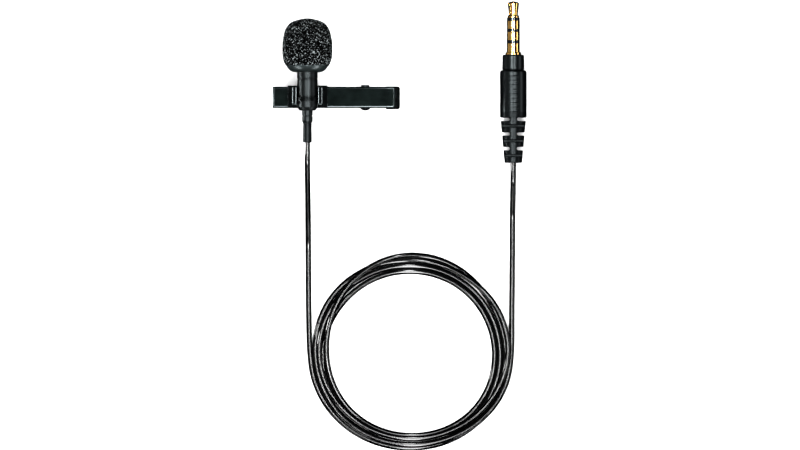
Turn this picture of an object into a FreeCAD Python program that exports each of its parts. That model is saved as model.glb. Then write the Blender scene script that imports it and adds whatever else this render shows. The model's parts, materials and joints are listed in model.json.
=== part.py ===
import FreeCAD, Part
import math
import os

from FreeCAD import Vector as V

# Clip-on lavalier microphone: an electret capsule in a slim barrel with a foam
# windscreen, a spring tie clip with a snap-in holder, a thin coiled cable and a
# moulded four-conductor 3.5 mm plug. It lies flat: Z is up, z = 0 is the surface
# it lies on, the microphone barrel points along +Y and the clip runs along X.
# Lengths are in millimetres. Shapes are drawn with the barrel's axis at x = 0 and
# the clip's centre line at y = 0, then moved so that the origin is below the
# middle of the microphone and its clip.

# ---- driving dimensions ----------------------------------------------------
# heights
clip_top_z = 5.60            # top of the clip's front plate
mic_axis_z = clip_top_z + 3.85
plug_axis_z = 3.65

# barrel
barrel_r = 2.765
barrel_wall = 0.415
barrel_front_y = 16.5
barrel_joint_y = 0.20
cap_back_y = -3.67
cap_chamfer_y = -2.85
cap_back_r = 2.11

# foam windscreen
foam_r = 6.84
foam_top_y = 21.42
foam_bottom_y = 6.71
foam_bore_r = 2.90

# strain relief behind the barrel
collar_r = 1.425
collar_end_y = -6.58
sleeve_start_y = -7.26
sleeve_end_y = -12.44
sleeve_r0 = 1.165
sleeve_r1 = 1.22

# cable
cable_d = 1.50
cable_r = cable_d / 2.0

# clip
clip_left_x = -9.56
plate_right_x = 23.90
clip_right_x = 25.23
plate_half_w = 2.90
sheet = 0.45
flange_depth = 1.20
pivot_x = 15.73
pivot_z = clip_top_z - 2.40
pin_r = 0.60
pin_run = 0.05               # radial clearance of the lever on the pin
tooth_pitch = 1.16
tooth_depth = 0.50
tip_wall_z = 3.10            # lower edge of the front jaw
jaw_gap = 0.12

# holder
ring_ri = barrel_r + 0.035
ring_ro = 3.05
holder_ri = 3.10
holder_ro = 3.95
holder_arm_y = (-1.90, 2.60)
holder_base_y = (-2.89, 3.18)
holder_base_x = 5.45
holder_base_t = 0.80

# plug
plug_x = 56.30
plug_r = 1.75                # standard 3.5 mm shaft
plug_tip_y = 26.36
plug_body_r = 3.63
plug_collar_r = 2.96
relief_end_y = -17.89

# coil of cable
coil_x, coil_y = 28.55, -69.73
coil_h = 3.15

# the origin is under the middle of everything but the cable and plug
shift = V(-(clip_left_x + clip_right_x) / 2.0, -(foam_top_y + sleeve_end_y) / 2.0, 0)

os.makedirs("parts", exist_ok=True)


# ---- helpers ---------------------------------------------------------------
def save(shape, name):
    s = shape.copy()
    s.translate(shift)
    s.exportStep("parts/%s.step" % name)
    ok = s.isValid()
    print("%-24s solids %2d  volume %10.3f  valid %s" % (name, len(s.Solids), s.Volume, ok))
    return s


def rev(pts, x0=0.0, z0=mic_axis_z):
    """Turned solid about an axis along Y: pts are (radius, y), in order."""
    p = [V(x0 + r, y, z0) for r, y in pts]
    wire = Part.makePolygon(p + [p[0]])
    return Part.Face(wire).revolve(V(x0, 0, z0), V(0, 1, 0), 360)


def tube(r0, r1, y0, y1, x0=0.0, z0=mic_axis_z):
    """Round tube along Y with inner radius r0 (0 for a rod) and outer radius r1."""
    s = Part.makeCylinder(r1, y1 - y0, V(x0, y0, z0), V(0, 1, 0))
    if r0 > 0:
        s = s.cut(Part.makeCylinder(r0, y1 - y0, V(x0, y0, z0), V(0, 1, 0)))
    return s


def box(x0, x1, y0, y1, z0, z1):
    return Part.makeBox(x1 - x0, y1 - y0, z1 - z0, V(x0, y0, z0))


def plate_xz(pts, y0, y1):
    """Flat solid: an outline in the XZ plane, from y0 to y1."""
    p = [V(x, y0, z) for x, z in pts]
    return Part.Face(Part.makePolygon(p + [p[0]])).extrude(V(0, y1 - y0, 0))


def plate_yz(pts, x0, x1):
    """Flat solid: an outline in the YZ plane, from x0 to x1."""
    p = [V(x0, y, z) for y, z in pts]
    return Part.Face(Part.makePolygon(p + [p[0]])).extrude(V(x1 - x0, 0, 0))


def fillet(shape, r, test):
    """Round the edges whose middle passes the test."""
    es = []
    for e in shape.Edges:
        m = e.valueAt((e.FirstParameter + e.LastParameter) / 2.0)
        if test(e, m):
            es.append(e)
    return shape.makeFillet(r, es) if es else shape


def route_tube(points, r, name):
    """Round cable along straight runs joined by tangent arcs, each arc as large
    as its two runs allow."""
    pts = [V(*p) for p in points]
    edges = []
    radii = []
    start = pts[0]
    for i in range(1, len(pts) - 1):
        a, b, c = pts[i - 1], pts[i], pts[i + 1]
        u = (a - b).normalize()
        w = (c - b).normalize()
        l1, l2 = (a - b).Length, (c - b).Length
        turn = math.pi - u.getAngle(w)
        t = 0.45 * min(l1, l2)
        radii.append(t / math.tan(turn / 2.0))
        p1 = b + u * t
        p2 = b + w * t
        half = (u + w).normalize()
        dist = radii[-1] / math.cos(turn / 2.0)
        centre = b + half * dist
        mid = centre + (b - centre).normalize() * radii[-1]
        edges.append(Part.LineSegment(start, p1).toShape())
        edges.append(Part.Arc(p1, mid, p2).toShape())
        start = p2
    edges.append(Part.LineSegment(start, pts[-1]).toShape())
    path = Part.Wire(edges)
    d = (pts[1] - pts[0]).normalize()
    section = Part.Wire([Part.Circle(pts[0], d, r).toShape()])
    solid = path.makePipeShell([section], True, True)
    want = math.pi * r * r * path.Length
    print("%s length %.1f  radii %s  volume %.2f of %.2f"
          % (name, path.Length, [round(x, 1) for x in radii], solid.Volume, want))
    return solid


# ---- microphone barrel -----------------------------------------------------
bore_r = barrel_r - barrel_wall
g = 0.10                                     # depth of the fine turned rings
housing = rev([
    (bore_r, barrel_joint_y), (barrel_r - 0.06, barrel_joint_y), (barrel_r, barrel_joint_y + 0.06),
    (barrel_r, 4.58), (barrel_r - g, 4.63), (barrel_r - g, 4.76), (barrel_r, 4.81),
    (barrel_r, 4.95), (barrel_r - g, 5.00), (barrel_r - g, 5.13), (barrel_r, 5.18),
    (barrel_r, barrel_front_y - 0.30), (barrel_r - 0.09, barrel_front_y - 0.09),
    (barrel_r - 0.30, barrel_front_y), (bore_r, barrel_front_y)])
save(housing, "mic_housing")

cap_bore = 1.30
rear_cap = rev([
    (cap_bore, cap_back_y), (cap_back_r, cap_back_y), (barrel_r - 0.08, cap_chamfer_y - 0.12),
    (barrel_r, cap_chamfer_y), (barrel_r, -0.11), (barrel_r - 0.06, -0.05), (2.60, -0.05),
    (2.60, barrel_joint_y), (bore_r, barrel_joint_y), (bore_r, 3.0), (cap_bore, 3.0)])
save(rear_cap, "rear_cap")

# perforated front grille, set back in the mouth of the barrel
grille = tube(0, bore_r, 15.90, 16.28)
holes = [(0.0, 0.0, 0.32)]
for n, rad, hr in ((6, 0.92, 0.26), (12, 1.72, 0.22)):
    for k in range(n):
        a = 2 * math.pi * k / n
        holes.append((rad * math.cos(a), rad * math.sin(a), hr))
for hx, hz, hr in holes:
    grille = grille.cut(Part.makeCylinder(hr, 2.0, V(hx, 15.0, mic_axis_z + hz), V(0, 1, 0)))
save(grille, "capsule_grille")
save(tube(0, 2.30, 15.60, 15.85), "dust_screen")

capsule = rev([
    (0, 12.90), (1.95, 12.90), (2.0, 12.98), (2.0, 15.30), (1.92, 15.40),
    (0.30, 15.40), (0.30, 15.22), (0, 15.22)])
save(capsule, "electret_capsule")
save(tube(2.0, 2.33, 13.20, 15.40), "capsule_gasket")

board = tube(0, 1.90, 12.42, 12.90)
for sx in (-0.8, 0.8):
    board = board.fuse(Part.makeCylinder(0.34, 0.20, V(sx, 12.22, mic_axis_z), V(0, 1, 0)))
save(board.removeSplitter(), "capsule_board")

leads = []
for sx in (-1, 1):
    a = V(0.8 * sx, 12.22, mic_axis_z)
    b = V(0.38 * sx, 1.92, mic_axis_z)
    d = b - a
    leads.append(Part.makeCylinder(0.17, d.Length, a, d))
save(Part.makeCompound(leads), "capsule_leads")

save(tube(cable_r, 1.28, -1.20, 1.50), "cable_crimp")
save(tube(0, cable_r, sleeve_end_y, 1.90), "mic_cable_inner")

collar = rev([
    (cable_r, sleeve_start_y), (sleeve_r0, sleeve_start_y), (collar_r, collar_end_y),
    (collar_r, -5.33), (collar_r - 0.12, -5.27), (collar_r - 0.12, -5.08), (collar_r, -5.02),
    (collar_r, cap_back_y), (1.28, cap_back_y), (1.28, -1.60), (cable_r, -1.60)])
save(collar, "strain_relief_collar")

sleeve = rev([
    (cable_r, sleeve_end_y), (sleeve_r1 - 0.16, sleeve_end_y), (sleeve_r1, sleeve_end_y + 0.22),
    (sleeve_r0, sleeve_start_y), (cable_r, sleeve_start_y)])
save(sleeve, "strain_relief_sleeve")

# ---- foam windscreen: squarish-round, widest below its middle, with a mouth --
outer = [(0.0, 21.42), (1.55, 21.25), (3.50, 20.73), (4.74, 20.08), (5.62, 19.04),
         (6.16, 17.90), (6.52, 16.50), (6.77, 14.90), (6.84, 13.10), (6.77, 11.40),
         (6.48, 9.75), (5.88, 8.58), (5.02, 7.42), (4.20, 6.88), (3.35, 6.71)]
curve = Part.BSplineCurve()
curve.interpolate([V(r, y, mic_axis_z) for r, y in outer],
                  InitialTangent=V(1, 0, 0), FinalTangent=V(-1, -0.02, 0))
foam_face = Part.Face(Part.Wire([
    curve.toShape(),
    Part.LineSegment(V(3.35, foam_bottom_y, mic_axis_z), V(foam_bore_r, foam_bottom_y + 0.10, mic_axis_z)).toShape(),
    Part.LineSegment(V(foam_bore_r, foam_bottom_y + 0.10, mic_axis_z), V(foam_bore_r, 16.70, mic_axis_z)).toShape(),
    Part.LineSegment(V(foam_bore_r, 16.70, mic_axis_z), V(0, 16.70, mic_axis_z)).toShape(),
    Part.LineSegment(V(0, 16.70, mic_axis_z), V(0, foam_top_y, mic_axis_z)).toShape()]))
foam = foam_face.revolve(V(0, 0, mic_axis_z), V(0, 1, 0), 360)
save(foam, "foam_windscreen")

# ---- friction ring between the barrel and the holder -------------------------
ring = rev([
    (ring_ri, -1.25), (ring_ro - 0.06, -1.25), (ring_ro, -1.19), (ring_ro, -0.92),
    (ring_ro - 0.08, -0.86), (ring_ro - 0.08, -0.78), (ring_ro, -0.72), (ring_ro, -0.58),
    (ring_ro - 0.08, -0.52), (ring_ro - 0.08, -0.44), (ring_ro, -0.38), (ring_ro, -0.18),
    (ring_ro - 0.06, -0.12), (ring_ri, -0.12)])
save(ring, "grip_ring")

# ---- holder: snap-in cradle on the front plate -------------------------------
zc = mic_axis_z
a0 = math.radians(28)
arm_len = holder_arm_y[1] - holder_arm_y[0]
cradle = Part.makeCylinder(holder_ro, arm_len, V(0, holder_arm_y[0], zc), V(0, 1, 0))
wedge = [(0, zc), (8 * math.cos(a0), zc + 8 * math.sin(a0)), (8, zc + 9), (-8, zc + 9),
         (-8 * math.cos(a0), zc + 8 * math.sin(a0))]
cradle = cradle.cut(plate_xz(wedge, holder_arm_y[0] - 1, holder_arm_y[1] + 1))
cradle = cradle.cut(box(-9, 9, -9, 9, zc - 9, clip_top_z))
for s in (-1, 1):
    lip = [(holder_ri * math.cos(a0) * s, zc + holder_ri * math.sin(a0)),
           (2.84 * s, zc + 1.90), (4.12 * s, zc + 1.90), (4.19 * s, zc + 1.54),
           (holder_ro * math.cos(math.radians(14)) * s, zc + holder_ro * math.sin(math.radians(14))),
           (3.30 * s, zc + 0.75)]
    cradle = cradle.fuse(plate_xz(lip, holder_arm_y[0], holder_arm_y[1]))
base = box(-holder_base_x, holder_base_x, holder_base_y[0], holder_base_y[1], clip_top_z, clip_top_z + holder_base_t)
base = fillet(base, 0.25, lambda e, m: m.z > clip_top_z + holder_base_t - 1e-4 or
              (abs(m.z - clip_top_z - holder_base_t / 2) < 1e-3 and abs(abs(m.x) - holder_base_x) < 1e-3))
holder = cradle.fuse(base)
# walls that drop straight from the cradle's widest point to its base
for s in (-1, 1):
    foot = [(2.2 * s, clip_top_z + 0.1), (holder_ro * s, clip_top_z + 0.1), (holder_ro * s, zc),
            (3.4 * s, zc - 0.85), (3.0 * s, zc - 1.95)]
    holder = holder.fuse(plate_xz(foot, holder_arm_y[0], holder_arm_y[1]))
holder = holder.cut(Part.makeCylinder(holder_ri, 20, V(0, -10, zc), V(0, 1, 0)))
holder = holder.removeSplitter()
rounded = fillet(holder, 0.16, lambda e, m: m.z > zc + 1.87)
if rounded.isValid():
    holder = rounded
# counterbore and hole of the rivet, and two locating pegs through the plate
holder = holder.cut(Part.makeCylinder(1.25, 3, V(0, 0, clip_top_z + 0.35)))
holder = holder.cut(Part.makeCylinder(0.70, 3, V(0, 0, clip_top_z - 1)))
for s in (-1, 1):
    holder = holder.fuse(Part.makeCylinder(0.45, 0.60, V(4.40 * s, 0.15, clip_top_z - sheet - 0.05)))
save(holder, "mic_holder")

rivet = Part.makeCylinder(0.70, sheet + 0.35, V(0, 0, clip_top_z - sheet))
rivet = rivet.fuse(Part.makeCylinder(1.22, 0.28, V(0, 0, clip_top_z + 0.35)))
rivet = rivet.fuse(Part.makeCone(0.75, 1.15, 0.35, V(0, 0, clip_top_z - sheet - 0.35)))
save(rivet.removeSplitter(), "holder_rivet")

# ---- clip front plate: folded sheet channel ----------------------------------
zt = clip_top_z
shell_out = box(clip_left_x, plate_right_x, -plate_half_w, plate_half_w, zt - flange_depth, zt)
shell_out = fillet(shell_out, 0.55, lambda e, m: m.z > zt - 1e-4 and abs(abs(m.y) - plate_half_w) < 1e-4)
shell_out = fillet(shell_out, 0.50, lambda e, m: m.x > plate_right_x - 1e-4 and m.z > zt - 1e-4)
inner_w = plate_half_w - sheet
channel = box(clip_left_x + sheet, plate_right_x - sheet, -inner_w, inner_w, zt - 9, zt - sheet)
channel = fillet(channel, 0.12, lambda e, m: m.z > zt - sheet - 1e-4)
plate = shell_out.cut(channel)
# ears that carry the pivot pin
for s in (-1, 1):
    y0 = inner_w if s > 0 else -plate_half_w
    ear = Part.makeCylinder(1.45, sheet, V(pivot_x, y0, pivot_z), V(0, 1, 0))
    ear = ear.fuse(plate_xz([(pivot_x - 1.45, pivot_z), (pivot_x + 1.45, pivot_z),
                             (pivot_x + 2.3, zt - flange_depth + 0.2), (pivot_x + 2.3, zt - 0.62),
                             (pivot_x - 2.3, zt - 0.62), (pivot_x - 2.3, zt - flange_depth + 0.2)],
                            y0, y0 + sheet))
    plate = plate.fuse(ear)
# front jaw: the left end folds down and is cut into teeth
n_teeth = 5
half = n_teeth * tooth_pitch / 2.0


def zigzag(z_tip, z_root, first_up):
    pts = []
    for k in range(2 * n_teeth + 1):
        y = -half + k * tooth_pitch / 2.0
        low = (k % 2 == 0) != first_up
        pts.append((y, z_root if low else z_tip))
    return pts


teeth = zigzag(tip_wall_z - tooth_depth, tip_wall_z, False)
wall = plate_yz([(-half, zt - 0.8)] + [(half, zt - 0.8)] + teeth[::-1], clip_left_x, clip_left_x + sheet)
plate = plate.fuse(wall)
plate = plate.cut(Part.makeCylinder(pin_r, 20, V(pivot_x, -10, pivot_z), V(0, 1, 0)))
plate = plate.cut(Part.makeCylinder(0.70, 5, V(0, 0, zt - 2)))
for s in (-1, 1):
    plate = plate.cut(Part.makeCylinder(0.45, 5, V(4.40 * s, 0.15, zt - 2)))
plate = plate.removeSplitter()
save(plate, "clip_front_plate")

# ---- clip back lever: folded sheet with ears, teeth and a wide thumb pad ------
lever_w = 2.70
ear_out = inner_w - 0.10
bend_x = 12.60
tip_bot = 1.85
t = sheet


k = math.hypot(tip_bot, bend_x - clip_left_x) / (bend_x - clip_left_x)
jaw = plate_xz([(clip_left_x, tip_bot), (bend_x, 0), (14.2, 0), (14.2, t), (bend_x + 0.02, t),
                (clip_left_x, tip_bot + t * k)], -lever_w, lever_w)
neck = box(13.4, 18.6, -ear_out, ear_out, 0, t)
jaw = jaw.common(box(-20, 13.4, -9, 9, -1, 9))
grip = box(18.6, 21.4, -lever_w, lever_w, 0, t)
pad = box(21.4, clip_right_x, -3.12, 3.12, 0, t)
pad = fillet(pad, 0.6, lambda e, m: abs(m.z - t / 2) < 1e-4 and m.x > clip_right_x - 1e-3)
lever = jaw.fuse(neck).fuse(grip).fuse(pad)
for s in (-1, 1):
    y0 = ear_out - 0.40 if s > 0 else -ear_out
    ear = Part.makeCylinder(1.12, 0.40, V(pivot_x, y0, pivot_z), V(0, 1, 0))
    ear = ear.fuse(plate_xz([(13.5, 0.1), (18.5, 0.1), (pivot_x + 1.12, pivot_z), (pivot_x - 1.12, pivot_z)],
                            y0, y0 + 0.40))
    lever = lever.fuse(ear)
# turned-up jaw with teeth that mesh with the front jaw's
drop = jaw_gap * math.hypot(tooth_depth, tooth_pitch / 2) / (tooth_pitch / 2)
full = zigzag(tip_wall_z - tooth_depth - drop, tip_wall_z - drop, False)
lip_wall = plate_yz([(-half, tip_bot + 0.1), (half, tip_bot + 0.1)] + full[::-1],
                    clip_left_x, clip_left_x + sheet)
lip_wall = lip_wall.common(box(-20, 20, -lever_w, lever_w, -1, 9))
lever = lever.fuse(lip_wall)
lever = lever.cut(Part.makeCylinder(pin_r + pin_run, 20, V(pivot_x, -10, pivot_z), V(0, 1, 0)))
# raised grip ribs across the inside of the thumb pad
for k2 in range(3):
    xr = 22.0 + 0.9 * k2
    lever = lever.fuse(box(xr, xr + 0.35, -2.6, 2.6, t - 0.05, t + 0.18))
save(lever.removeSplitter(), "clip_back_lever")

# ---- pivot pin: flat head at +Y, domed head at -Y -----------------------------
pin = rev([(0, -3.56), (0.45, -3.52), (0.90, -3.36), (1.20, -3.14), (1.33, -2.90), (pin_r, -2.90),
           (pin_r, 2.90), (1.12, 2.90), (1.12, 3.36), (1.05, 3.42), (0, 3.42)],
          pivot_x, pivot_z)
save(pin, "pivot_pin")

# ---- torsion spring on the pin: its two legs push the thumb ends apart ----------
wire_r = 0.19
coil_r = 0.98
leg_up = 8.0                 # degrees each leg leaves the coil from level
leg_down = 17.0
leg_len = 5.4
turns = 3.5 - (leg_up + leg_down) / 360.0
pitch = 0.56
helix = Part.makeHelix(pitch, pitch * turns, coil_r, 0, True)
# start just before the top of the coil, axis along Y
helix.rotate(V(0, 0, 0), V(1, 0, 0), -90)
helix.rotate(V(0, 0, 0), V(0, 1, 0), -90 - leg_up)
helix.translate(V(pivot_x, -pitch * turns / 2.0, pivot_z))
e0 = helix.Edges[0]
p0 = e0.valueAt(e0.FirstParameter)
d0 = e0.tangentAt(e0.FirstParameter)
e1 = helix.Edges[-1]
p1 = e1.valueAt(e1.LastParameter)
d1 = e1.tangentAt(e1.LastParameter)
q0 = p0 - d0 * leg_len
q1 = p1 + d1 * leg_len
print("spring ends", q0, p0, p1, q1)
path = Part.Wire([Part.LineSegment(q0, p0).toShape()] + helix.Edges + [Part.LineSegment(p1, q1).toShape()])
circle = Part.Wire([Part.Circle(q0, d0, wire_r).toShape()])
spring = path.makePipeShell([circle], True, False)
print("spring volume %.3f of %.3f" % (spring.Volume, math.pi * wire_r ** 2 * path.Length))
save(spring, "torsion_spring")

# ---- plug ---------------------------------------------------------------------
px, pz = plug_x, plug_axis_z
y_i1 = (20.96, 21.84)
y_i2 = (17.95, 18.77)
y_i3 = (14.79, 15.67)
sleeve_y = (12.38, 14.79)
flange_y = (11.67, 12.38)
rod_r, i1_r, r1_r, i2_r, r2_r, i3_r = 0.42, 0.66, 0.90, 1.10, 1.30, 1.48

tip = rev([(0, 8.2), (rod_r, 8.2), (rod_r, 21.84), (1.57, 21.84), (1.57, 22.30), (1.50, 22.40),
           (1.24, 22.52), (1.22, 22.75), (1.27, 23.30), (1.42, 24.70), (1.53, 25.45), (1.55, 25.72),
           (1.50, 25.92), (1.28, 26.10), (0.80, 26.22), (0.45, 26.33), (0.20, 26.36), (0, 26.36)], px, pz)
save(tip, "plug_tip")
save(rev([(i1_r, 8.8), (r1_r, 8.8), (r1_r, 18.77), (plug_r, 18.77), (plug_r, 20.96), (i1_r, 20.96)], px, pz),
     "plug_ring_front")
save(rev([(i2_r, 9.4), (r2_r, 9.4), (r2_r, 15.67), (plug_r, 15.67), (plug_r, 17.95), (i2_r, 17.95)], px, pz),
     "plug_ring_back")
save(rev([(i3_r, 10.0), (1.80, 10.0), (1.80, flange_y[0]), (2.12, flange_y[0]), (2.12, flange_y[1] - 0.12),
          (2.00, flange_y[1]), (plug_r, flange_y[1]), (plug_r, sleeve_y[1]), (i3_r, sleeve_y[1])], px, pz),
     "plug_sleeve")
ins = [rev([(rod_r, 8.6), (i1_r, 8.6), (i1_r, 20.96), (plug_r, 20.96), (plug_r, 21.84), (rod_r, 21.84)], px, pz),
       rev([(r1_r, 9.2), (i2_r, 9.2), (i2_r, 17.95), (plug_r, 17.95), (plug_r, 18.77), (r1_r, 18.77)], px, pz),
       rev([(r2_r, 9.8), (i3_r, 9.8), (i3_r, 14.79), (plug_r, 14.79), (plug_r, 15.67), (r2_r, 15.67)], px, pz)]
save(Part.makeCompound(ins), "plug_insulators")

# moulded body: collar, grip and slotted strain relief, hollow for the contacts' tails
def turned(pts):
    return rev(pts, px, pz)


mould = turned([(0, relief_end_y), (2.28, relief_end_y), (2.40, relief_end_y + 0.12),
                (2.68, -14.49), (2.81, -13.45), (3.04, -10.44), (3.11, -9.52), (3.44, -6.47),
                (3.52, -5.48), (plug_body_r - 0.10, -5.48), (plug_body_r, -5.38), (plug_body_r, 6.95),
                (plug_body_r - 0.15, 7.30), (plug_body_r - 0.50, 7.45), (plug_collar_r - 0.10, 7.45),
                (plug_collar_r - 0.10, 7.70), (plug_collar_r, 7.76), (plug_collar_r, 11.35),
                (plug_collar_r - 0.09, 11.58), (plug_collar_r - 0.32, 11.67), (0, 11.67)])
# side slots: open at the left and right, a narrow web stays in the middle
web_half = 0.89
for y0, y1 in ((-6.47, -5.48), (-10.44, -9.52), (-14.49, -13.50)):
    h = (y1 - y0) / 2.0
    ym = (y0 + y1) / 2.0
    for s in (-1, 1):
        cut = box(px + (web_half + h if s > 0 else -8), px + (8 if s > 0 else -web_half - h),
                  y0, y1, pz - 8, pz + 8)
        cut = cut.fuse(Part.makeCylinder(h, 16, V(px + s * (web_half + h), ym, pz - 8)))
        mould = mould.cut(cut)
# front and back slots in the middle of each segment
for ym in (-7.86, -11.94, -15.98):
    for s in (-1, 1):
        z0, z1 = (pz + 1.25, pz + 8) if s > 0 else (pz - 8, pz - 1.25)
        mould = mould.cut(box(px - 8, px + 8, ym - 0.36, ym + 0.36, z0, z1))
# generic raised grip bars on the front of the body
for n in range(9):
    yb = 5.55 - 1.22 * n
    bar = Part.makeCylinder(plug_body_r + 0.11, 0.52, V(px, yb - 0.26, pz), V(0, 1, 0))
    bar = bar.common(box(px - 1.25, px + 1.25, yb - 1, yb + 1, pz + 1.0, pz + 6))
    mould = mould.fuse(bar)
mould = mould.cut(tube(0, 1.80, 2.0, 11.67, px, pz))
mould = mould.cut(tube(0, 1.25, -1.2, 2.0, px, pz))
mould = mould.cut(tube(0, cable_r, relief_end_y - 1, -1.2, px, pz))
save(mould.removeSplitter(), "plug_overmould")

save(tube(cable_r, 1.25, -1.2, 1.6, px, pz), "plug_crimp")
save(tube(0, cable_r, relief_end_y, 3.0, px, pz), "plug_cable_inner")
wires = []
for (wx, wz), (tx, ty, tz) in (((-0.30, 0.0), (-0.30, 8.2, 0.0)), ((0.30, 0.0), (0.78, 8.8, 0.0)),
                               ((0.0, 0.32), (0.0, 9.4, 1.20)), ((0.0, -0.32), (0.0, 10.0, -1.64))):
    a = V(px + wx, 3.03, pz + wz)
    b = V(px + tx, ty - 0.04, pz + tz)
    d = b - a
    wires.append(Part.makeCylinder(0.13, d.Length, a, d))
save(Part.makeCompound(wires), "plug_wires")

# ---- cable --------------------------------------------------------------------
# The cable leaves the sleeve level, sinks to the surface and joins the coil; it
# leaves the coil on its right and rises into the plug.
mic_route = [(0.0, sleeve_end_y, mic_axis_z), (0.0, -18.2, mic_axis_z), (0.05, -25.4, 6.75),
             (0.07, -33.0, 2.65), (0.09, -41.2, 0.80), (0.13, -50.6, cable_r), (0.22, -60.2, cable_r),
             (0.45, -69.8, cable_r), (1.35, -77.0, cable_r)]
plug_route = [(plug_x, relief_end_y, plug_axis_z), (plug_x, -22.4, plug_axis_z),
              (plug_x - 0.10, -28.0, 2.05), (plug_x - 0.16, -34.0, 0.86), (plug_x - 0.18, -41.5, cable_r),
              (plug_x - 0.24, -50.5, cable_r), (plug_x - 0.36, -60.0, cable_r), (plug_x - 0.30, -69.0, cable_r),
              (plug_x - 1.15, -76.9, 1.30)]
save(route_tube(mic_route, cable_r, "cord_mic_lead"), "cord_mic_lead")
save(route_tube(plug_route, cable_r, "cord_plug_lead"), "cord_plug_lead")

# outer shape of the coil: outer and inner radius every 30 degrees from +X
coil_outer = [28.1, 26.9, 26.85, 27.2, 26.7, 27.45, 28.85, 28.5, 27.85, 27.2, 27.25, 27.8]
coil_inner = [21.9, 21.5, 21.3, 21.3, 21.8, 22.6, 22.7, 22.65, 22.5, 22.3, 22.5, 22.4]


def loop(radii):
    pts = [V(coil_x + r * math.cos(math.radians(30 * i)), coil_y + r * math.sin(math.radians(30 * i)), 0)
           for i, r in enumerate(radii)]
    c = Part.BSplineCurve()
    c.interpolate(pts, PeriodicFlag=True)
    return Part.Wire([c.toShape()])


ring_face = Part.Face([loop(coil_outer), loop(coil_inner)])
ring_face.validate()
save(ring_face.extrude(V(0, 0, coil_h)), "cord_coil")
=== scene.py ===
import json
import math

import bmesh
import bpy
import numpy as np
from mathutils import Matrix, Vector, noise


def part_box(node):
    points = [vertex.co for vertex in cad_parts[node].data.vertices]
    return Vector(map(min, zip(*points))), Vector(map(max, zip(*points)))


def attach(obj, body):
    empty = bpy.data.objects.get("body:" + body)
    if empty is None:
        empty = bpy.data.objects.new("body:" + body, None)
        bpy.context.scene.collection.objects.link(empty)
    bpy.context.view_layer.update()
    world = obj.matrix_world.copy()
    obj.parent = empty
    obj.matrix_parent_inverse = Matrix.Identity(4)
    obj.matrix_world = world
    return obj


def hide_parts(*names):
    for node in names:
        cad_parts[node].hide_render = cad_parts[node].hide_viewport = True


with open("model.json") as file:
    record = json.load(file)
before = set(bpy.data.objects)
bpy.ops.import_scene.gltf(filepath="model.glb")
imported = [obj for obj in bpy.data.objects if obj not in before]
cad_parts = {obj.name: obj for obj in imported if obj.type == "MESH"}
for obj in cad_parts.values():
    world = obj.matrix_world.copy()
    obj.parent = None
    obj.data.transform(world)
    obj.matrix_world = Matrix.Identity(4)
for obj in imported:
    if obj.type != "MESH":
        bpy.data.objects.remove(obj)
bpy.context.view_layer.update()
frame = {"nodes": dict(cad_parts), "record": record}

MM = 0.001
nodes = frame["nodes"]
scene = bpy.context.scene

# ---------------------------------------------------------------- places ----
# Shapes below are drawn in millimetres in the drawing's own coordinates: the
# barrel's axis at x = 0 and the clip's centre line at y = 0. These two corners
# of the frame say where that is in the row frame.
_lo, _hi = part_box("mic_housing")
X0 = (_lo.x + _hi.x) / 2 / MM                 # row x of the barrel's axis, mm
Y0 = _hi.y / MM - 16.5                        # row y of the clip's centre line, mm
ZA = (_lo.z + _hi.z) / 2 / MM                 # height of the barrel's axis, mm
_lo, _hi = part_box("plug_tip")
PX = (_lo.x + _hi.x) / 2 / MM - X0            # plug axis in drawing x, mm
PZ = (_lo.z + _hi.z) / 2 / MM


def row(x, y, z):
    """A drawing point in mm as a row-frame point in metres."""
    return Vector(((x + X0) * MM, (y + Y0) * MM, z * MM))


# ---------------------------------------------------------------- camera ----
cam_data = bpy.data.cameras.new("camera")
cam = bpy.data.objects.new("camera", cam_data)
scene.collection.objects.link(cam)
cam_data.lens = 200.0
cam_data.sensor_width = 36.0
cam_data.clip_start = 0.05
cam_data.clip_end = 20.0
cam.location = row(25.26, -34.93, 3.65) + Vector((0, 0, 219.2 * MM * 200.0 / 36.0))
cam.rotation_euler = (0, 0, 0)
scene.camera = cam


# ------------------------------------------------------------- materials ----
def new_mat(name):
    m = bpy.data.materials.new(name)
    m.use_nodes = True
    nt = m.node_tree
    nt.nodes.clear()
    out = nt.nodes.new("ShaderNodeOutputMaterial")
    bsdf = nt.nodes.new("ShaderNodeBsdfPrincipled")
    nt.links.new(bsdf.outputs["BSDF"], out.inputs["Surface"])
    return m, nt, bsdf


def coords(nt, scale=(1, 1, 1)):
    t = nt.nodes.new("ShaderNodeTexCoord")
    mp = nt.nodes.new("ShaderNodeMapping")
    mp.inputs["Scale"].default_value = scale
    nt.links.new(t.outputs["Object"], mp.inputs["Vector"])
    return mp.outputs["Vector"]


def noise_tex(nt, vec, scale, detail=4.0, rough=0.55, distort=0.0):
    n = nt.nodes.new("ShaderNodeTexNoise")
    n.inputs["Scale"].default_value = scale
    n.inputs["Detail"].default_value = detail
    n.inputs["Roughness"].default_value = rough
    n.inputs["Distortion"].default_value = distort
    nt.links.new(vec, n.inputs["Vector"])
    return n.outputs["Fac"]


def ramp(nt, fac, stops):
    r = nt.nodes.new("ShaderNodeValToRGB")
    els = r.color_ramp.elements
    while len(els) < len(stops):
        els.new(0.5)
    for e, (p, c) in zip(els, stops):
        e.position = p
        e.color = (c[0], c[1], c[2], 1.0)
    nt.links.new(fac, r.inputs["Fac"])
    return r.outputs["Color"]


def math_node(nt, op, a, b):
    m = nt.nodes.new("ShaderNodeMath")
    m.operation = op
    for i, v in enumerate((a, b)):
        if isinstance(v, (int, float)):
            m.inputs[i].default_value = v
        else:
            nt.links.new(v, m.inputs[i])
    return m.outputs[0]


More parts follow.
